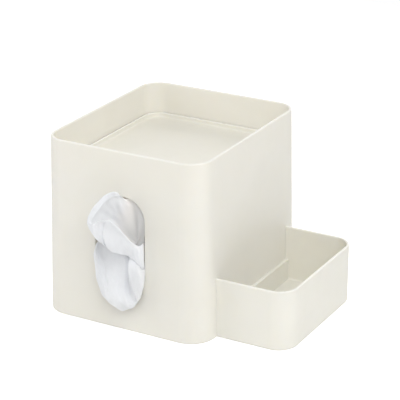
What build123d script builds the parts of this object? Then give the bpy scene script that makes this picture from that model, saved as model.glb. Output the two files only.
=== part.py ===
"""Tissue box organizer: a tapered cover that stands over a cube box of tissues.

The frame's origin is the middle of the cover's footprint on the counter. X runs to the
caddy's side, Y to the back and Z up. All sizes are in millimetres and degrees.
"""

import os
from math import radians, tan

from build123d import *

# Refill carton: a cube box of tissues on its side, with its opening to the front
carton_width = 110.0
carton_depth = 127.0
carton_height = 110.0
carton_board = 0.6
carton_crease = 1.0
carton_mouth_width = 36.0
carton_mouth_height = 74.0
film_width = 60.0
film_height = 98.0
film_thickness = 0.3
film_slit_width = 2.0
film_slit_length = 66.0
stack_headroom = 9.0
stack_clearance = 0.4
stack_round = 7.0

# Room left round the carton, at the counter
side_room = 15.8
front_room = 4.4
rear_room = 35.2
head_room = 1.8

# Cover shell
wall = 2.2
wall_draft = 1.25
corner_radius = 21.0
rim_round = 0.8
round_share = 0.4
slot_width = 44.0
slot_height = 78.0
slot_corner = 18.0
slot_below_ledge = 1.8

# Tray that drops into the top of the cover and rests on a ledge
tray_depth = 30.0
tray_floor = 2.0
tray_lip_height = 4.0
tray_lip = 1.6
tray_floor_round = 1.4
tray_edge_round = 0.5
tray_clearance = 0.6
ledge_width = 6.0
ledge_thickness = 2.2
recess_draft = 0.5

# Side caddy: a cup with three walls that hooks onto the cover's right wall
caddy_reach = 61.0
caddy_height = 49.0
caddy_wall = 2.2
caddy_floor = 2.2
caddy_corner = 16.5
caddy_floor_round = 2.0
caddy_front_shoulder = 3.0
caddy_rear_shoulder = 5.0
hook_width = 14.0
hook_spacing = 64.0
hook_level = 11.0
hook_thickness = 2.4
hook_drop = 2.0
hook_cover = 6.6
hook_clearance = 0.2

# Pulled tissue: heights are measured from the slot's middle
tissue_gap = 0.4
neck_clearance = 4.5
neck_height = 32.0
neck_round = 12.0
neck_drop = 8.0
crease_places = (0.42, 0.74)
crease_reach = (0.60, 0.50)
fold_bulge = 0.26

# Sizes that follow from the ones above
lean = tan(radians(wall_draft))
body_width = carton_width + 2 * (side_room + wall)
body_depth = front_room + carton_depth + rear_room + 2 * wall
ledge_bottom = carton_height + head_room
ledge_top = ledge_bottom + ledge_thickness
tray_top = ledge_top + tray_floor
body_height = tray_top + tray_depth
rim_inset = body_height * lean + wall
recess_width = body_width - 2 * rim_inset
recess_depth = body_depth - 2 * rim_inset
recess_corner = corner_radius - rim_inset
recess_inset = (body_height - ledge_top) * tan(radians(recess_draft))
tray_inset = recess_inset + tray_clearance
slot_middle = ledge_bottom - slot_below_ledge - slot_height / 2
caddy_front = -body_depth / 2 + corner_radius + caddy_front_shoulder
caddy_rear = body_depth / 2 - corner_radius - caddy_rear_shoulder
caddy_length = caddy_rear - caddy_front
caddy_middle = (caddy_front + caddy_rear) / 2
carton_front = -body_depth / 2 + wall + front_room
edge_round = min(rim_round, round_share * wall, round_share * caddy_wall)
flange_height = hook_level + hook_thickness + hook_cover
neck_width = slot_width - 2 * neck_clearance
hook_places = (caddy_middle - hook_spacing / 2, caddy_middle + hook_spacing / 2)

# Folds of the pulled sheet: height, left edge, right edge, reach in front of the wall
lower_folds = (
    (2, -16, 20, 17),
    (-11, -20, 22, 19),
    (-23, -19, 22, 16),
    (-35, -15, 20, 12),
    (-46, -6, 16, 7),
    (-51, 1, 10, 3.5),
)
upper_folds = (
    (0, -8, 18, 20),
    (9, -20, 17, 26),
    (20, -23, 9, 24),
    (33, -19, 5, 17),
    (45, -7, 1, 6),
)


def wall_face(height):
    """Outer face of the leaning front wall at a height, as a Y coordinate."""
    return -body_depth / 2 + height * lean


def fold_outline(height, left, right, reach):
    """Level cut through the hanging sheet: flat along the wall, three folds in front."""
    level = slot_middle + height
    back = wall_face(level) - tissue_gap
    width = right - left
    corners = [(left, back)]
    for place, share in zip(crease_places, crease_reach):
        corners.append((left + place * width, back - share * reach))
    corners.append((right, back))
    with BuildSketch(Plane.XY.offset(level)) as outline:
        with BuildLine():
            for start, end in zip(corners, corners[1:]):
                chord = (Vector(*end) - Vector(*start)).length
                SagittaArc(start, end, -fold_bulge * chord)
            Line(corners[-1], corners[0])
        make_face()
    return outline.sketch


def recess_outline(inset):
    """Round-cornered outline of the tray recess at the rim, drawn in by an inset."""
    RectangleRounded(recess_width - 2 * inset, recess_depth - 2 * inset, recess_corner - inset)


# Outside form of the cover, shared by the shell and by what fits against it
with BuildPart() as cover_form:
    with BuildSketch():
        RectangleRounded(body_width, body_depth, corner_radius)
    extrude(amount=body_height, taper=wall_draft)

# Cover shell: four leaning walls, open below, with a ledge for the tray
with BuildPart() as cover_shell:
    add(cover_form.part)
    with BuildSketch():
        RectangleRounded(body_width - 2 * wall, body_depth - 2 * wall, corner_radius - wall)
    extrude(amount=ledge_bottom, taper=wall_draft, mode=Mode.SUBTRACT)
    with BuildSketch(Plane.XY.offset(body_height)):
        recess_outline(0)
    extrude(amount=ledge_top - body_height, taper=recess_draft, mode=Mode.SUBTRACT)
    with BuildSketch(Plane.XY.offset(ledge_bottom)):
        recess_outline(recess_inset + ledge_width)
    extrude(amount=ledge_thickness, mode=Mode.SUBTRACT)
    with BuildSketch(Plane.XZ.offset(body_depth / 2)):
        with Locations((0, slot_middle)):
            RectangleRounded(slot_width, slot_height, slot_corner)
    extrude(amount=-(wall + body_height * lean), mode=Mode.SUBTRACT)
    fillet(cover_shell.edges(Select.LAST).filter_by(Axis.Y, reverse=True), edge_round)
    with BuildSketch(Plane.YZ.offset(body_width / 2)):
        hook_window = hook_thickness + hook_drop + hook_clearance
        with Locations(*[(place, hook_level) for place in hook_places]):
            Rectangle(hook_width + 2 * hook_clearance, hook_window, align=(Align.CENTER, Align.MIN))
    extrude(amount=-(wall + body_height * lean), mode=Mode.SUBTRACT)
    fillet(cover_shell.faces().sort_by(Axis.Z)[-1].edges(), edge_round)
    foot_face = cover_shell.faces().sort_by(Axis.Z)[0]
    fillet(foot_face.outer_wire().edges(), edge_round)
cover_shell.part.label = "cover_shell"

# Top tray: a flat floor with a low lip, dropped onto the ledge
with BuildPart() as top_tray:
    with BuildSketch(Plane.XY.offset(ledge_top)):
        recess_outline(tray_inset)
    extrude(amount=tray_floor + tray_lip_height)
    with BuildSketch(Plane.XY.offset(tray_top)):
        recess_outline(tray_inset + tray_lip)
    extrude(amount=tray_lip_height, mode=Mode.SUBTRACT)
    fillet(top_tray.faces().filter_by(Axis.Z).sort_by(Axis.Z)[1].edges(), tray_floor_round)
    fillet(top_tray.faces().sort_by(Axis.Z)[-1].edges(), tray_edge_round)
    fillet(top_tray.faces().sort_by(Axis.Z)[0].edges(), tray_edge_round)
top_tray.part.label = "top_tray"

# Side caddy: floor, three walls and a low flange with two hooks through the cover's wall
with BuildPart() as side_caddy:
    caddy_width = caddy_reach + 2 * caddy_corner
    caddy_centre = body_width / 2 + caddy_reach - caddy_width / 2
    with BuildSketch():
        with Locations((caddy_centre, caddy_middle)):
            RectangleRounded(caddy_width, caddy_length, caddy_corner)
    extrude(amount=caddy_height)
    with BuildSketch(Plane.XY.offset(caddy_floor)):
        with Locations((caddy_centre, caddy_middle)):
            RectangleRounded(
                caddy_width - 2 * caddy_wall,
                caddy_length - 2 * caddy_wall,
                caddy_corner - caddy_wall,
            )
    extrude(amount=caddy_height - caddy_floor, mode=Mode.SUBTRACT)
    floor_face = side_caddy.faces().filter_by(Axis.Z).sort_by(Axis.Z)[1]
    fillet(floor_face.edges(), caddy_floor_round)
    with BuildSketch():
        with Locations((body_width / 2 + caddy_wall, caddy_middle)):
            Rectangle(
                caddy_wall + body_height * lean,
                caddy_length - 2 * caddy_wall,
                align=(Align.MAX, Align.CENTER),
            )
    extrude(amount=flange_height)
    add(cover_form.part, mode=Mode.SUBTRACT)
    outer_edges = side_caddy.edges().filter_by(lambda edge: edge.center().X > body_width / 2)
    fillet(outer_edges.filter_by_position(Axis.Z, caddy_height, caddy_height), edge_round)
    foot_edges = side_caddy.faces().sort_by(Axis.Z)[0].edges()
    fillet(foot_edges.filter_by(lambda edge: edge.center().X > body_width / 2), edge_round)
    hook_face = body_width / 2 - hook_level * lean - wall - hook_clearance
    with BuildSketch(Plane.XY.offset(hook_level)):
        with Locations(*[(hook_face - hook_thickness, place) for place in hook_places]):
            Rectangle(
                body_width / 2 + caddy_wall - hook_face + hook_thickness,
                hook_width,
                align=(Align.MIN, Align.CENTER),
            )
    extrude(amount=hook_thickness)
    with BuildSketch(Plane.XY.offset(hook_level - hook_drop)):
        with Locations(*[(hook_face, place) for place in hook_places]):
            Rectangle(hook_thickness, hook_width, align=(Align.MAX, Align.CENTER))
    extrude(amount=hook_drop)
side_caddy.part.label = "side_caddy"

# Tissue carton: thin board box with its mouth in the front panel
with BuildPart() as tissue_carton:
    with BuildSketch(Plane.XZ.offset(-carton_front)):
        with Locations((0, carton_height / 2)):
            RectangleRounded(carton_width, carton_height, carton_crease)
    extrude(amount=-carton_depth)
    with BuildSketch(Plane.XZ.offset(-carton_front - carton_board)):
        with Locations((0, carton_height / 2)):
            RectangleRounded(
                carton_width - 2 * carton_board,
                carton_height - 2 * carton_board,
                carton_crease - carton_board,
            )
    extrude(amount=-(carton_depth - 2 * carton_board), mode=Mode.SUBTRACT)
    with BuildSketch(Plane.XZ.offset(-carton_front)):
        with Locations((0, carton_height / 2)):
            SlotOverall(carton_mouth_height, carton_mouth_width, rotation=90)
    extrude(amount=-carton_board, mode=Mode.SUBTRACT)
tissue_carton.part.label = "tissue_carton"

# Carton film: clear sheet glued behind the mouth, with a slit for the next tissue
with BuildPart() as carton_film:
    with BuildSketch(Plane.XZ.offset(-carton_front - carton_board)):
        with Locations((0, carton_height / 2)):
            Rectangle(film_width, film_height)
            SlotOverall(film_slit_length, film_slit_width, rotation=90, mode=Mode.SUBTRACT)
    extrude(amount=-film_thickness)
carton_film.part.label = "carton_film"

# Tissue stack: the pile of folded sheets, soft at its front edges
with BuildPart() as tissue_stack:
    stack_front = carton_front + carton_board + film_thickness + stack_headroom
    stack_rear = carton_front + carton_depth - carton_board
    with BuildSketch(Plane.XY.offset(carton_board)):
        with Locations((0, stack_rear)):
            Rectangle(
                carton_width - 2 * (carton_board + stack_clearance),
                stack_rear - stack_front,
                align=(Align.CENTER, Align.MAX),
            )
    extrude(amount=carton_height - 2 * carton_board - stack_clearance)
    fillet(tissue_stack.faces().sort_by(Axis.Y)[0].edges(), stack_round)
tissue_stack.part.label = "tissue_stack"

# Pulled tissue: a neck through the slot, an upper fold that stands and a lower one that hangs
with BuildPart() as pulled_tissue:
    loft(sections=[fold_outline(*fold) for fold in lower_folds])
    loft(sections=[fold_outline(*fold) for fold in upper_folds])
    with BuildSketch(Plane.XZ.offset(-carton_front + tissue_gap)):
        with Locations((0, slot_middle - neck_drop)):
            RectangleRounded(neck_width, neck_height, neck_round)
    extrude(amount=wall + front_room)
pulled_tissue.part.label = "pulled_tissue"

os.makedirs("parts", exist_ok=True)
pieces = (
    cover_shell,
    top_tray,
    side_caddy,
    tissue_carton,
    carton_film,
    tissue_stack,
    pulled_tissue,
)
for piece in pieces:
    export_step(piece.part, f"parts/{piece.part.label}.step")
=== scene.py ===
"""Looks of the tissue box organizer: cream plastic, board, film and paper."""

import math

import bpy
import numpy as np
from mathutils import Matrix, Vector, noise


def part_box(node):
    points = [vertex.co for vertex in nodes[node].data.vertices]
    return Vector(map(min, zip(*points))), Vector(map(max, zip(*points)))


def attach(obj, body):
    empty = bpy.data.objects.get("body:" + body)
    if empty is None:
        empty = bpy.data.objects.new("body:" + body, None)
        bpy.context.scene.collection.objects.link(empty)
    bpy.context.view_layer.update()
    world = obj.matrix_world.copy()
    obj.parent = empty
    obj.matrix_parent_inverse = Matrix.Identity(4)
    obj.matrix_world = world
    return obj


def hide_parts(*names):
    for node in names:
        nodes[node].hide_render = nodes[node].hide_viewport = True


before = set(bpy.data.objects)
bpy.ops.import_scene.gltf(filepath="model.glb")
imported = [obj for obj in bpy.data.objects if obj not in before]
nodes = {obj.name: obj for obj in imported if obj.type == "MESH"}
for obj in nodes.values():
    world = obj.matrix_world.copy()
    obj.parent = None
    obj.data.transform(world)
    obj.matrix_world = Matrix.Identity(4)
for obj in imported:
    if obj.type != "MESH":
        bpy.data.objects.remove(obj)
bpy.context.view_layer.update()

# Tissue carton
# A cube box of coated board that lies on its side, so that its mouth faces the front.
# It is die cut, creased and glued; the coat is pale and the cut edges show grey fibre.
carton_tone = (0.76, 0.69, 0.61)
carton_fleck = (0.725, 0.655, 0.575)
carton_fold_tone = (0.84, 0.79, 0.72)
carton_fold_band = 0.0016
carton_fibre = 900.0
carton_roughness = 0.62
carton_relief = 0.00008


def start_material(name):
    """New material with a Principled shader on its output."""
    material = bpy.data.materials.new(name)
    material.use_nodes = True
    tree = material.node_tree
    tree.nodes.clear()
    output = tree.nodes.new("ShaderNodeOutputMaterial")
    shader = tree.nodes.new("ShaderNodeBsdfPrincipled")
    tree.links.new(shader.outputs["BSDF"], output.inputs["Surface"])
    return material, tree, shader


def start_group(name, inputs, outputs):
    """New shader node group; inputs are (name, kind, start value), outputs (name, kind)."""
    kinds = {"color": "NodeSocketColor", "value": "NodeSocketFloat"}
    group = bpy.data.node_groups.new(name, "ShaderNodeTree")
    for label, kind, value in inputs:
        socket = group.interface.new_socket(label, in_out="INPUT", socket_type=kinds[kind])
        socket.default_value = value
    for label, kind in outputs:
        group.interface.new_socket(label, in_out="OUTPUT", socket_type=kinds[kind])
    entry = group.nodes.new("NodeGroupInput")
    leave = group.nodes.new("NodeGroupOutput")
    return group, entry, leave


def add_group(tree, group, **values):
    """Place a node group in a material with its own values; a word gap is written as _."""
    node = tree.nodes.new("ShaderNodeGroup")
    node.node_tree = group
    for label, value in values.items():
        node.inputs[label.replace("_", " ")].default_value = value
    return node


def add_math(tree, operation, first, second=None):
    """Math node on two sockets or numbers."""
    node = tree.nodes.new("ShaderNodeMath")
    node.operation = operation
    for socket, value in zip(node.inputs, (first, second)):
        if isinstance(value, bpy.types.NodeSocket):
            tree.links.new(value, socket)
        elif value is not None:
            socket.default_value = value
    return node.outputs["Value"]


def add_range(tree, value, low, high, to_low=0.0, to_high=1.0, smooth=True):
    """Map Range node: value from low to high becomes to_low to to_high."""
    node = tree.nodes.new("ShaderNodeMapRange")
    node.interpolation_type = "SMOOTHSTEP" if smooth else "LINEAR"
    tree.links.new(value, node.inputs["Value"])
    labels = ("From Min", "From Max", "To Min", "To Max")
    for label, number in zip(labels, (low, high, to_low, to_high)):
        if isinstance(number, bpy.types.NodeSocket):
            tree.links.new(number, node.inputs[label])
        else:
            node.inputs[label].default_value = number
    return node.outputs["Result"]


def add_noise(tree, vector, scale, detail=3.0, rough=0.5, warp=0.0):
    """Noise texture on a vector; the scale is a number or a socket."""
    node = tree.nodes.new("ShaderNodeTexNoise")
    tree.links.new(vector, node.inputs["Vector"])
    if isinstance(scale, bpy.types.NodeSocket):
        tree.links.new(scale, node.inputs["Scale"])
    else:
        node.inputs["Scale"].default_value = scale
    node.inputs["Detail"].default_value = detail
    node.inputs["Roughness"].default_value = rough
    node.inputs["Distortion"].default_value = warp
    return node.outputs["Fac"]


def add_mix(tree, share, first, second):
    """Mix of two colours, each a socket or an RGB triple."""
    node = tree.nodes.new("ShaderNodeMix")
    node.data_type = "RGBA"
    tree.links.new(share, node.inputs["Factor"])
    sockets = [s for s in node.inputs if s.type == "RGBA"]
    for socket, colour in zip(sockets, (first, second)):
        if isinstance(colour, bpy.types.NodeSocket):
            tree.links.new(colour, socket)
        else:
            socket.default_value = (*colour, 1.0)
    return next(s for s in node.outputs if s.type == "RGBA")


def add_bump(tree, shader, height, distance, strength):
    """Bump node from a height socket to the shader's normal."""
    node = tree.nodes.new("ShaderNodeBump")
    node.inputs["Distance"].default_value = distance
    node.inputs["Strength"].default_value = strength
    tree.links.new(height, node.inputs["Height"])
    tree.links.new(node.outputs["Normal"], shader.inputs["Normal"])


def object_place(tree):
    """Place on the object, in metres."""
    return tree.nodes.new("ShaderNodeTexCoord").outputs["Object"]


def stretched(tree, vector, stretch):
    """The vector with each axis scaled."""
    node = tree.nodes.new("ShaderNodeMapping")
    node.inputs["Scale"].default_value = stretch
    tree.links.new(vector, node.inputs["Vector"])
    return node.outputs["Vector"]


def split_axes(tree, vector):
    """X, Y and Z sockets of a vector."""
    node = tree.nodes.new("ShaderNodeSeparateXYZ")
    tree.links.new(vector, node.inputs["Vector"])
    return node.outputs["X"], node.outputs["Y"], node.outputs["Z"]


def dress(node_name, material):
    """Give a CAD node its finish."""
    slots = nodes[node_name].data.materials
    slots.clear()
    slots.append(material)


# Fibre shared by board and its cut edge, the folded sheets and the pulled sheet
paper_fibre, fibre_in, fibre_out = start_group(
    "paper_fibre",
    [
        ("Tone", "color", (0.8, 0.8, 0.8, 1.0)),
        ("Fleck", "color", (0.7, 0.7, 0.7, 1.0)),
        ("Fibre Size", "value", 900.0),
    ],
    [("Color", "color"), ("Height", "value")],
)
fibre_place = object_place(paper_fibre)
fibre_size = fibre_in.outputs["Fibre Size"]
fibre_fine = add_noise(paper_fibre, fibre_place, fibre_size, detail=4.0, rough=0.65, warp=1.2)
fibre_cloud = add_noise(paper_fibre, fibre_place, scale=60.0, warp=0.4)
fibre_both = add_math(paper_fibre, "MULTIPLY", fibre_fine, fibre_cloud)
fibre_share = add_range(paper_fibre, fibre_both, low=0.12, high=0.42)
fibre_colour = add_mix(paper_fibre, fibre_share, fibre_in.outputs["Fleck"], fibre_in.outputs["Tone"])
paper_fibre.links.new(fibre_colour, fibre_out.inputs["Color"])
paper_fibre.links.new(fibre_fine, fibre_out.inputs["Height"])

board, board_tree, board_shader = start_material("coated_board")
board_fibre = add_group(
    board_tree,
    paper_fibre,
    Tone=(*carton_tone, 1.0),
    Fleck=(*carton_fleck, 1.0),
    Fibre_Size=carton_fibre,
)

# A place that is near two of the box's faces at once is on a fold
carton_low, carton_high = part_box("tissue_carton")
board_axes = split_axes(board_tree, object_place(board_tree))
board_near = None
for place, low, high in zip(board_axes, carton_low, carton_high):
    centre = (low + high) / 2
    reach = (high - low) / 2
    offset = add_math(board_tree, "ABSOLUTE", add_math(board_tree, "SUBTRACT", place, centre))
    near = add_range(board_tree, offset, reach - carton_fold_band, reach)
    board_near = near if board_near is None else add_math(board_tree, "ADD", board_near, near)
board_fold = add_range(board_tree, board_near, low=1.05, high=1.9)
board_colour = add_mix(board_tree, board_fold, board_fibre.outputs["Color"], carton_fold_tone)
board_tree.links.new(board_colour, board_shader.inputs["Base Color"])
board_shader.inputs["Roughness"].default_value = carton_roughness
add_bump(board_tree, board_shader, board_fibre.outputs["Height"], carton_relief, strength=0.35)
dress("tissue_carton", board)

# Outer closing flap on the carton's back. It folds down from the top edge and is glued in its
# middle, so that its free end stands a little proud, most at the corners.
flap_thickness = 0.0005
flap_clearance = 0.0003
flap_length = 0.066
flap_inset = 0.0012
flap_taper = 0.005
flap_taper_start = 0.8
flap_lift = 0.0022
flap_middle_share = 0.35
flap_across = 29
flap_along = 17
cut_tone = (0.52, 0.47, 0.41)
cut_fleck = (0.40, 0.36, 0.31)
cut_fibre = 1600.0
cut_roughness = 0.9
cut_relief = 0.0002


def grid_faces(across, along):
    """Four-sided faces between the points of a grid, kept column by column."""
    faces = []
    for i in range(across - 1):
        for j in range(along - 1):
            corner = i * along + j
            faces.append((corner, corner + along, corner + along + 1, corner + 1))
    return faces


def mesh_piece(name, points, faces):
    """New mesh object in the scene."""
    mesh = bpy.data.meshes.new(name)
    mesh.from_pydata(points, [], faces)
    piece = bpy.data.objects.new(name, mesh)
    bpy.context.scene.collection.objects.link(piece)
    return piece


def thicken(piece, thickness):
    """Give a sheet its thickness, half to each side, and return the modifier."""
    body = piece.modifiers.new("thickness", "SOLIDIFY")
    body.thickness = thickness
    body.offset = 0.0
    return body


flap_half = (carton_high.x - carton_low.x) / 2 - flap_inset
flap_middle = (carton_high.x + carton_low.x) / 2
flap_points = []
for i in range(flap_across):
    side = 2 * i / (flap_across - 1) - 1
    for j in range(flap_along):
        run = j / (flap_along - 1)
        narrow = flap_taper * max(0.0, run - flap_taper_start) / (1.0 - flap_taper_start)
        proud = flap_middle_share + (1.0 - flap_middle_share) * side ** 2
        flap_points.append(
            (
                flap_middle + side * (flap_half - narrow),
                carton_high.y + flap_clearance + flap_lift * run ** 3 * proud,
                carton_high.z - flap_inset - run * flap_length,
            )
        )
carton_flap = mesh_piece("carton_flap", flap_points, grid_faces(flap_across, flap_along))
thicken(carton_flap, flap_thickness).material_offset_rim = 1
cut_edge, cut_tree, cut_shader = start_material("board_cut_edge")
cut_group = add_group(
    cut_tree,
    paper_fibre,
    Tone=(*cut_tone, 1.0),
    Fleck=(*cut_fleck, 1.0),
    Fibre_Size=cut_fibre,
)
cut_tree.links.new(cut_group.outputs["Color"], cut_shader.inputs["Base Color"])
cut_shader.inputs["Roughness"].default_value = cut_roughness
add_bump(cut_tree, cut_shader, cut_group.outputs["Height"], cut_relief, strength=0.5)
carton_flap.data.materials.append(board)
carton_flap.data.materials.append(cut_edge)
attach(carton_flap, "refill")

# Carton film
# A clear polyethylene sheet glued behind the carton's mouth, with a slit down its middle.
# It is thin blown film, slightly drawn and wrinkled towards the slit.
film_tint = (0.92, 0.93, 0.94, 1.0)
film_wrinkle = (90.0, 90.0, 26.0)
film_wave_range = (0.2, 0.8)
film_roughness = (0.1, 0.26)
film_milk = (0.66, 0.86)
film_relief = 0.0008
film, film_tree, film_shader = start_material("clear_film")
film_drawn = stretched(film_tree, object_place(film_tree), film_wrinkle)
film_wave = add_noise(film_tree, film_drawn, scale=1.0, detail=2.0, rough=0.4, warp=1.4)
film_haze = add_range(film_tree, film_wave, *film_wave_range, *film_roughness)
film_cover = add_range(film_tree, film_wave, *film_wave_range, *film_milk)
film_shader.inputs["Base Color"].default_value = film_tint
film_tree.links.new(film_haze, film_shader.inputs["Roughness"])
film_tree.links.new(film_cover, film_shader.inputs["Alpha"])
add_bump(film_tree, film_shader, film_wave, film_relief, strength=0.35)
dress("carton_film", film)

# Tissue stack
# The pile of folded two-ply sheets, interleaved and pressed into the carton.
# Soft creped paper: each fold shows as a fine line round the pile, with painted shade in the gap between
# sheets.
pile_tone = (0.86, 0.86, 0.86)
pile_fleck_and_gap_shade = (0.79, 0.79, 0.80)
pile_fibre_size = 700.0
pile_sheet = 0.0011
pile_wander = 0.004
pile_roughness = 0.92
pile_relief = 0.0002
pile, pile_tree, pile_shader = start_material("folded_sheets")
pile_fibre = add_group(
    pile_tree,
    paper_fibre,
    Tone=(*pile_tone, 1.0),
    Fleck=(*pile_fleck_and_gap_shade, 1.0),
    Fibre_Size=pile_fibre_size,
)
pile_place = object_place(pile_tree)
pile_depth = split_axes(pile_tree, pile_place)[1]
pile_sway = add_noise(pile_tree, pile_place, scale=40.0, detail=2.0)
pile_sway = add_math(pile_tree, "MULTIPLY", pile_sway, pile_wander)
pile_level = add_math(pile_tree, "ADD", pile_depth, pile_sway)
pile_turn = add_math(pile_tree, "MULTIPLY", pile_level, 2 * math.pi / pile_sheet)
pile_line = add_math(pile_tree, "SINE", pile_turn)
# Painted shade: the colour goes darker in a fine line between each pair of sheets
pile_gap_shade_share = add_range(pile_tree, pile_line, low=-1.0, high=-0.3)
pile_colour = add_mix(pile_tree, pile_gap_shade_share, pile_fleck_and_gap_shade, pile_fibre.outputs["Color"])
pile_tree.links.new(pile_colour, pile_shader.inputs["Base Color"])
pile_shader.inputs["Roughness"].default_value = pile_roughness
add_bump(pile_tree, pile_shader, pile_line, pile_relief, strength=0.5)
dress("tissue_stack", pile)

# Cover shell
# Four leaning walls in one injection moulding of cream polypropylene, open below, with
# the tissue slot in front. The mould's spark finish leaves it satin.
cover_tone = (0.815, 0.795, 0.73)
cover_fleck = (0.80, 0.78, 0.71)
cover_gloss = (0.38, 0.50)
# Painted highlight: the rim tone is lighter than the plastic; the rim's real polish only lowers the
# roughness
rim_painted_highlight_tone = (0.86, 0.845, 0.79)
rim_polish = -0.1
# Painted shade: the foot tone darkens the plastic in patches along the foot, where it meets the counter
foot_painted_shade_tone = (0.70, 0.66, 0.57)
foot_painted_shade_share = 0.5
plastic_ior = 1.49
plastic_scatter = 0.15
plastic_scatter_tint = (1.0, 0.85, 0.55)
plastic_scatter_depth = 0.003
plastic_relief = 0.00003
smear_stretch = (1.0, 1.0, 0.35)
swell_height = 6.0

# Spark finish, flow clouds and gloss of moulded plastic, for all three mouldings
moulded_skin, skin_in, skin_out = start_group(
    "moulded_skin",
    [
        ("Tone", "color", (0.8, 0.8, 0.8, 1.0)),
        ("Fleck", "color", (0.7, 0.7, 0.7, 1.0)),
        ("Grain", "value", 2400.0),
        ("Gloss Low", "value", 0.36),
        ("Gloss High", "value", 0.48),
    ],
    [("Color", "color"), ("Roughness", "value"), ("Height", "value")],
)
skin_place = object_place(moulded_skin)
skin_cloud = add_noise(moulded_skin, skin_place, scale=22.0, rough=0.55, warp=0.6)
skin_grain = add_noise(moulded_skin, skin_place, skin_in.outputs["Grain"], detail=2.0, rough=0.6)
skin_share = add_range(moulded_skin, skin_cloud, low=0.3, high=0.7)
skin_colour = add_mix(moulded_skin, skin_share, skin_in.outputs["Fleck"], skin_in.outputs["Tone"])
skin_drawn = stretched(moulded_skin, skin_place, smear_stretch)
skin_smear = add_noise(moulded_skin, skin_drawn, scale=140.0, detail=4.0, rough=0.6)
skin_gloss = add_range(
    moulded_skin,
    skin_smear,
    low=0.3,
    high=0.7,
    to_low=skin_in.outputs["Gloss Low"],
    to_high=skin_in.outputs["Gloss High"],
)
skin_swell = add_math(moulded_skin, "MULTIPLY", skin_cloud, swell_height)
skin_height = add_math(moulded_skin, "ADD", skin_grain, skin_swell)
moulded_skin.links.new(skin_colour, skin_out.inputs["Color"])
moulded_skin.links.new(skin_gloss, skin_out.inputs["Roughness"])
moulded_skin.links.new(skin_height, skin_out.inputs["Height"])

# Where hands polish a rim, with a painted highlight along it, and painted shade along the foot, by
# height over the counter
painted_rim_light_and_foot_shade, edge_in, edge_out = start_group(
    "painted_rim_light_and_foot_shade",
    [
        ("Rim Height", "value", 0.146),
        ("Rim Band", "value", 0.0016),
        ("Foot Band", "value", 0.0022),
    ],
    [("Rim", "value"), ("Foot", "value")],
)
edge_place = object_place(painted_rim_light_and_foot_shade)
edge_level = split_axes(painted_rim_light_and_foot_shade, edge_place)[2]
edge_patch = add_noise(painted_rim_light_and_foot_shade, edge_place, scale=120.0, rough=0.6)
edge_top = edge_in.outputs["Rim Height"]
edge_start = add_math(painted_rim_light_and_foot_shade, "SUBTRACT", edge_top, edge_in.outputs["Rim Band"])
edge_rim = add_range(painted_rim_light_and_foot_shade, edge_level, edge_start, edge_top)
rim_polish_and_light_patches = add_range(painted_rim_light_and_foot_shade, edge_patch, low=0.25, high=0.6, to_low=0.55)
# The foot mask carries painted shade along the bottom edge
edge_foot = add_range(painted_rim_light_and_foot_shade, edge_level, edge_in.outputs["Foot Band"], 0.0)
foot_shade_patches = add_range(painted_rim_light_and_foot_shade, edge_patch, low=0.35, high=0.7)
painted_rim_light_and_foot_shade.links.new(add_math(painted_rim_light_and_foot_shade, "MULTIPLY", edge_rim, rim_polish_and_light_patches), edge_out.inputs["Rim"])
painted_rim_light_and_foot_shade.links.new(add_math(painted_rim_light_and_foot_shade, "MULTIPLY", edge_foot, foot_shade_patches), edge_out.inputs["Foot"])


def moulded_plastic(name, tone, fleck, gloss, rim_height):
    """Cream satin plastic with a polished rim that carries a painted highlight, and painted shade along
    the foot.
    """
    material, tree, shader = start_material(name)
    skin = add_group(
        tree,
        moulded_skin,
        Tone=(*tone, 1.0),
        Fleck=(*fleck, 1.0),
        Gloss_Low=gloss[0],
        Gloss_High=gloss[1],
    )
    edge = add_group(tree, painted_rim_light_and_foot_shade, Rim_Height=rim_height)
    # Painted highlight along the rim and painted shade along the foot, both in the base colour
    colour = add_mix(tree, edge.outputs["Rim"], skin.outputs["Color"], rim_painted_highlight_tone)
    foot_shade = add_math(tree, "MULTIPLY", edge.outputs["Foot"], foot_painted_shade_share)
    colour = add_mix(tree, foot_shade, colour, foot_painted_shade_tone)
    tree.links.new(colour, shader.inputs["Base Color"])
    polish = add_math(tree, "MULTIPLY", edge.outputs["Rim"], rim_polish)
    roughness = add_math(tree, "ADD", skin.outputs["Roughness"], polish)
    tree.links.new(roughness, shader.inputs["Roughness"])
    shader.inputs["IOR"].default_value = plastic_ior
    shader.inputs["Subsurface Weight"].default_value = plastic_scatter
    shader.inputs["Subsurface Radius"].default_value = plastic_scatter_tint
    shader.inputs["Subsurface Scale"].default_value = plastic_scatter_depth
    add_bump(tree, shader, skin.outputs["Height"], plastic_relief, strength=0.3)
    return material


cover_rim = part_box("cover_shell")[1].z
dress("cover_shell", moulded_plastic("cream_cover", cover_tone, cover_fleck, cover_gloss, cover_rim))

# Top tray
# A flat moulded floor with a low lip that drops onto the cover's ledge and closes the top.
# Same cream plastic, a little more polished where things slide over it.
tray_tone = (0.815, 0.795, 0.725)
tray_fleck = (0.80, 0.78, 0.705)
tray_gloss = (0.34, 0.46)
tray_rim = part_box("top_tray")[1].z
dress("top_tray", moulded_plastic("cream_tray", tray_tone, tray_fleck, tray_gloss, tray_rim))

# Side caddy
# A low cup with three walls and a floor, moulded apart and hooked onto the cover's right wall.
# Same cream plastic and satin finish.
caddy_tone = (0.82, 0.805, 0.74)
caddy_fleck = (0.805, 0.79, 0.72)
caddy_gloss = (0.36, 0.48)
caddy_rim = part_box("side_caddy")[1].z
dress("side_caddy", moulded_plastic("cream_caddy", caddy_tone, caddy_fleck, caddy_gloss, caddy_rim))

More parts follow.
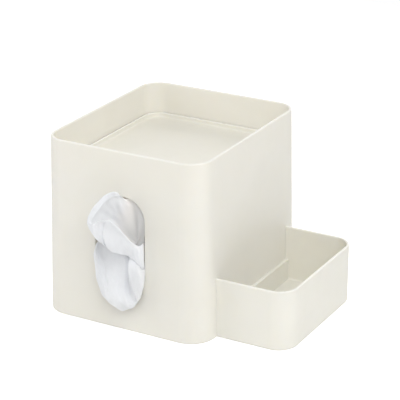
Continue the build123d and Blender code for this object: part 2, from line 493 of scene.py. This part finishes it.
# Pulled tissue
# The outer part of the next two-ply sheet, soft creped paper, gathered in the film's slit and
# drawn out of the slot. Its upper part opens as a cup, its lower part hangs as a scoop and a flap.
sheet_across = 260
sheet_along = 84
sheet_tone = (0.835, 0.855, 0.89)
sheet_fleck = (0.805, 0.825, 0.86)
sheet_fibre = 1100.0
sheet_roughness = 0.95
sheet_sheen = 0.15
sheet_scatter = (0.0009, 0.0009, 0.0009)
sheet_relief = 0.0001
# Painted warm bounce light: the sheet's colour turns cream deep in the slot and in its upper part
throat_painted_bounce_tone = (0.97, 0.905, 0.845)
painted_bounce_depth = (-0.089, -0.079)
painted_bounce_height = (0.060, 0.078)

# The sheet's form is worked out in millimetres, from the front wall's outer face at the counter
# and the wall's lean
millimetre = 0.001
wall_foot = -85.5
wall_lean = math.tan(math.radians(1.25))
sheet_thickness = 0.35

# Each line runs from the neck to the free edge: place along the wall, height, reach in front
sheet_columns = (
    # Far wall of the cup, from behind the right fold over the top to the left lip
    ((13, 73, -4), (17, 72, -4), (21, 81, -4), (21, 96, -4), (21, 101, -4)),
    ((13, 73, -4), (16, 79, -4), (19, 95, -3), (17, 105, -3), (16, 107, -3)),
    ((13, 73, -4), (15, 82, -3), (14, 100, -3), (11, 108, -3), (9, 109, -3)),
    ((13, 73, -5), (12, 83, -5), (9, 102, -2), (6, 109, 1), (5, 110, 2)),
    ((13, 73, -5), (7, 84, -3), (2, 105, 6), (3, 118, 12), (3, 115, 12)),
    ((13, 73, -5), (3, 80, -2), (-6, 99, 12), (-8, 110, 18), (-5, 107, 18)),
    ((13, 73, -5), (2, 74, 0), (-8, 85, 16), (-13, 96, 24), (-10, 96, 23)),
    # Near wall, whose edge is turned over to the front, and the fold at the right
    ((13, 72, -5), (3, 70, 1), (-7, 78, 16), (-10, 91, 23), (-7, 95, 24)),
    ((13, 72, -5), (4, 69, 2), (-4, 77, 17), (-3, 97, 26), (-2, 94, 23)),
    ((13, 72, -5), (5, 68, 1), (-3, 75, 15), (1, 97, 23), (2, 94, 21)),
    ((13, 72, -5), (8, 67, 2), (3, 74, 16), (8, 98, 25), (9, 93, 21)),
    ((13, 72, -5), (14, 65, 2), (13, 70, 10), (16, 85, 17), (17, 82, 14)),
    ((13, 72, -5), (19, 59, 0), (21, 60, 5), (21, 75, 8), (19, 74, 5)),
    ((13, 73, -5), (18, 59, -4), (23, 59, 2), (23, 75, 4), (22, 75, 2)),
    ((13, 73, -5), (18, 61, -4), (21, 62, -1), (21, 75, -1), (20, 77, -2)),
    ((13, 73, -5), (17, 66, -5), (20, 67, -4), (20, 76, -3), (20, 79, -4)),
    # Flap that hangs at the right
    ((15, 70, -5), (17, 65, -4), (19, 58, -3), (20, 52, -2), (20, 48, -1)),
    ((14, 66, -5), (19, 59, -3), (25, 49, 4), (23, 38, 5), (21, 33, 4)),
    ((12, 63, -5), (18, 61, 2), (24, 52, 9), (22, 35, 8), (19, 30, 5)),
    ((10, 61, -5), (15, 64, 3), (21, 54, 11), (21, 34, 9), (18, 28, 6)),
    ((8, 59, -5), (12, 65, 4), (16, 57, 13), (20, 37, 10), (18, 30, 7)),
    # Scoop below the cup, to its left edge
    ((7, 58, -5), (10, 60, 0), (15, 51, 7), (20, 34, 9), (18, 28, 6)),
    ((5, 58, -5), (8, 62, 1), (11, 46, 4), (18, 30, 10), (15, 24, 6)),
    ((3, 58, -5), (4, 64, 2), (6, 48, 5), (13, 30, 12), (10, 21, 6)),
    ((-1, 59, -5), (-1, 66, 2), (0, 49, 5), (8, 31, 14), (6, 19, 6)),
    ((-5, 60, -5), (-6, 68, 2), (-6, 50, 5), (2, 32, 14), (0, 21, 7)),
    ((-8, 61, -5), (-12, 69, 2), (-12, 51, 5), (-4, 32, 12), (-6, 24, 7)),
    ((-11, 62, -5), (-17, 71, 1), (-17, 58, 8), (-11, 34, 10), (-10, 28, 6)),
    ((-12, 63, -5), (-19, 69, -3), (-18, 56, 3), (-12, 34, 5), (-10, 30, 4)),
)


def smooth_through(points, count):
    """Natural cubic curve through the points along the first axis, read at count places."""
    points = np.asarray(points, float)
    last = len(points) - 1
    system = np.zeros((last + 1, last + 1))
    system[0, 0] = 1.0
    system[last, last] = 1.0
    right = np.zeros_like(points)
    for k in range(1, last):
        system[k, k - 1:k + 2] = (1.0, 4.0, 1.0)
        right[k] = 6.0 * (points[k + 1] - 2 * points[k] + points[k - 1])
    bend = np.linalg.solve(system, right.reshape(last + 1, -1)).reshape(points.shape)
    place = np.linspace(0, last, count)
    k = np.minimum(place.astype(int), last - 1)
    t = (place - k).reshape((-1,) + (1,) * (points.ndim - 1))
    curve = points[k] * (1 - t) + points[k + 1] * t
    curve += ((1 - t) ** 3 - (1 - t)) * bend[k] / 6 + (t ** 3 - t) * bend[k + 1] / 6
    return curve


sheet_net = smooth_through(sheet_columns, sheet_across)
sheet_net = smooth_through(sheet_net.swapaxes(0, 1), sheet_along).swapaxes(0, 1)
along_wall, height, reach_in_front = np.moveaxis(sheet_net, 2, 0)
wall_face = wall_foot + height * wall_lean
sheet_points = np.stack((along_wall, wall_face - reach_in_front, height), axis=2)

# Pleats fan out of the gathered neck, and finer creases lie over them. Both start past the neck,
# are slight inside the slot and grow calmer towards the free edge.
pleat_spacing = 9.0
pleat_run = 34.0
pleat_height = 0.75
pleat_seed = 0.7
crease_spacing = 3.6
crease_run = 7.0
crease_height = 0.22
crease_seed = 8.6
crest_slope = 3.2
neck_length = 4.0
neck_fade = 14.0
slot_depth = 1.0
slot_fade = 6.0
slot_share = 0.1
edge_fade = 9.0
edge_share = 0.25


def crested_waves(across, along, spacing, run, seed):
    """Waves with sharp crests over the flat sheet, 1 at a crest and below 0 between crests."""
    waves = np.empty(across.shape)
    for spot in np.ndindex(across.shape):
        place = Vector((across[spot] / spacing, along[spot] / run, seed))
        waves[spot] = 1.0 - crest_slope * abs(noise.noise(place))
    return waves


step_across = np.gradient(sheet_points, axis=0)
step_along = np.gradient(sheet_points, axis=1)
sheet_normal = np.cross(step_across, step_along)
sheet_normal /= np.linalg.norm(sheet_normal, axis=2, keepdims=True)
flat_along = np.cumsum(np.linalg.norm(step_along, axis=2), axis=1)
middle_row = np.linalg.norm(step_across[:, sheet_along // 2], axis=1)
flat_across = np.repeat(np.cumsum(middle_row)[:, None], sheet_along, axis=1)
pleats = crested_waves(flat_across, flat_along, pleat_spacing, pleat_run, pleat_seed)
creases = crested_waves(flat_across, flat_along, crease_spacing, crease_run, crease_seed)
past_neck = np.clip((flat_along - neck_length) / neck_fade, 0.0, 1.0)
past_slot = np.clip((reach_in_front + slot_depth) / slot_fade, slot_share, 1.0)
off_edge = np.clip((flat_along[:, -1:] - flat_along) / edge_fade, edge_share, 1.0)
relief = (pleat_height * pleats + crease_height * creases) * past_neck * past_slot * off_edge
sheet_points += sheet_normal * relief[..., None]

sheet_places = (sheet_points.reshape(-1, 3) * millimetre).tolist()
pulled_sheet = mesh_piece("pulled_sheet", sheet_places, grid_faces(sheet_across, sheet_along))
pulled_sheet.data.shade_smooth()
thicken(pulled_sheet, sheet_thickness * millimetre)

tissue, tissue_tree, tissue_shader = start_material("creped_tissue")
tissue_fibre = add_group(
    tissue_tree,
    paper_fibre,
    Tone=(*sheet_tone, 1.0),
    Fleck=(*sheet_fleck, 1.0),
    Fibre_Size=sheet_fibre,
)
# Painted warm bounce light: deep in the slot and above a set height, the white sheet is tinted cream,
# standing in for light thrown back by the cream plastic and the board
tissue_y, tissue_z = split_axes(tissue_tree, object_place(tissue_tree))[1:]
bounce_depth_share = add_range(tissue_tree, tissue_y, *painted_bounce_depth)
bounce_height_share = add_range(tissue_tree, tissue_z, *painted_bounce_height)
painted_bounce_share = add_math(tissue_tree, "MULTIPLY", bounce_depth_share, bounce_height_share)
tissue_colour = add_mix(tissue_tree, painted_bounce_share, tissue_fibre.outputs["Color"], throat_painted_bounce_tone)
tissue_tree.links.new(tissue_colour, tissue_shader.inputs["Base Color"])
tissue_shader.inputs["Roughness"].default_value = sheet_roughness
tissue_shader.inputs["Sheen Weight"].default_value = sheet_sheen
tissue_shader.inputs["Subsurface Weight"].default_value = 1.0
tissue_shader.inputs["Subsurface Radius"].default_value = sheet_scatter
tissue_shader.inputs["Subsurface Scale"].default_value = 1.0
add_bump(tissue_tree, tissue_shader, tissue_fibre.outputs["Height"], sheet_relief, strength=0.4)
pulled_sheet.data.materials.append(tissue)
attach(pulled_sheet, "tissue")
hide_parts("pulled_tissue")

# Counter and light
# A white counter in a white room, with softboxes at the left, right, front and back.
# None of them is mirrored, because the tray's floor would show one as a bright patch.
counter_half = 0.9
counter_level = -0.0002
counter_tone = (0.92, 0.92, 0.92, 1.0)
counter_glow = 0.55
room_tone = (1.0, 1.0, 1.0, 1.0)
room_light = 0.35
room_seen = 1.0
softbox_side = 1.0
softbox_distance = 1.4
stage_middle = Vector((0.03, 0.0, 0.07))

counter_corners = [
    (-counter_half, -counter_half, counter_level),
    (counter_half, -counter_half, counter_level),
    (counter_half, counter_half, counter_level),
    (-counter_half, counter_half, counter_level),
]
counter = mesh_piece("counter", counter_corners, [(0, 1, 2, 3)])
counter_material = bpy.data.materials.new("white_counter")
counter_material.use_nodes = True
counter_tree = counter_material.node_tree
counter_tree.nodes.clear()
counter_output = counter_tree.nodes.new("ShaderNodeOutputMaterial")
counter_diffuse = counter_tree.nodes.new("ShaderNodeBsdfDiffuse")
counter_diffuse.inputs["Color"].default_value = counter_tone
counter_lit = counter_tree.nodes.new("ShaderNodeEmission")
counter_path = counter_tree.nodes.new("ShaderNodeLightPath")
counter_seen = add_math(counter_tree, "MULTIPLY", counter_path.outputs["Is Camera Ray"], counter_glow)
counter_tree.links.new(counter_seen, counter_lit.inputs["Strength"])
counter_sum = counter_tree.nodes.new("ShaderNodeAddShader")
counter_tree.links.new(counter_diffuse.outputs["BSDF"], counter_sum.inputs[0])
counter_tree.links.new(counter_lit.outputs["Emission"], counter_sum.inputs[1])
counter_tree.links.new(counter_sum.outputs["Shader"], counter_output.inputs["Surface"])
counter.data.materials.append(counter_material)

room = bpy.data.worlds.new("white_room")
bpy.context.scene.world = room
room.use_nodes = True
room_tree = room.node_tree
room_tree.nodes.clear()
room_output = room_tree.nodes.new("ShaderNodeOutputWorld")
room_back = room_tree.nodes.new("ShaderNodeBackground")
room_back.inputs["Color"].default_value = room_tone
room_path = room_tree.nodes.new("ShaderNodeLightPath").outputs
room_view = add_math(room_tree, "MAXIMUM", room_path["Is Camera Ray"], room_path["Is Glossy Ray"])
room_view = add_math(room_tree, "MAXIMUM", room_view, room_path["Is Transmission Ray"])
room_level = add_range(room_tree, room_view, 0.0, 1.0, room_light, room_seen, smooth=False)
room_tree.links.new(room_level, room_back.inputs["Strength"])
room_tree.links.new(room_back.outputs["Background"], room_output.inputs["Surface"])


def toward(azimuth, elevation):
    """Direction from the object, in degrees: azimuth 0 is the front and 90 the caddy's side."""
    turn = math.radians(azimuth)
    rise = math.radians(elevation)
    return Vector((math.sin(turn) * math.cos(rise), -math.cos(turn) * math.cos(rise), math.sin(rise)))


def aim(item, target, direction, distance):
    """Put a lamp or camera at a distance from its target, facing it."""
    item.location = target + direction * distance
    item.rotation_euler = (-direction).to_track_quat("-Z", "Y").to_euler()


# Name, azimuth, elevation and power
softboxes = (
    ("softbox_left", -60.0, 20.0, 6.3),
    ("softbox_right", 90.0, 20.0, 3.0),
    ("softbox_front", 40.0, 46.0, 11.5),
    ("softbox_back", 190.0, 35.0, 7.5),
)
for name, azimuth, elevation, power in softboxes:
    lamp = bpy.data.lights.new(name, "AREA")
    lamp.shape = "SQUARE"
    lamp.size = softbox_side
    lamp.energy = power
    softbox = bpy.data.objects.new(name, lamp)
    softbox.visible_glossy = False
    bpy.context.scene.collection.objects.link(softbox)
    aim(softbox, stage_middle, toward(azimuth, elevation), softbox_distance)

# Camera
# A long lens 1.3 m away, looking down from the front right.
camera_lens = 151.55
camera_sensor = 36.0
camera_azimuth = 29.215
camera_elevation = 21.812
camera_distance = 1.2995
camera_target = Vector((0.0433, -0.0351, 0.0989))
camera_data = bpy.data.cameras.new("camera")
camera_data.sensor_width = camera_sensor
camera_data.lens = camera_lens
camera = bpy.data.objects.new("camera", camera_data)
bpy.context.scene.collection.objects.link(camera)
aim(camera, camera_target, toward(camera_azimuth, camera_elevation), camera_distance)
bpy.context.scene.camera = camera
bpy.context.scene.view_settings.view_transform = "Standard"
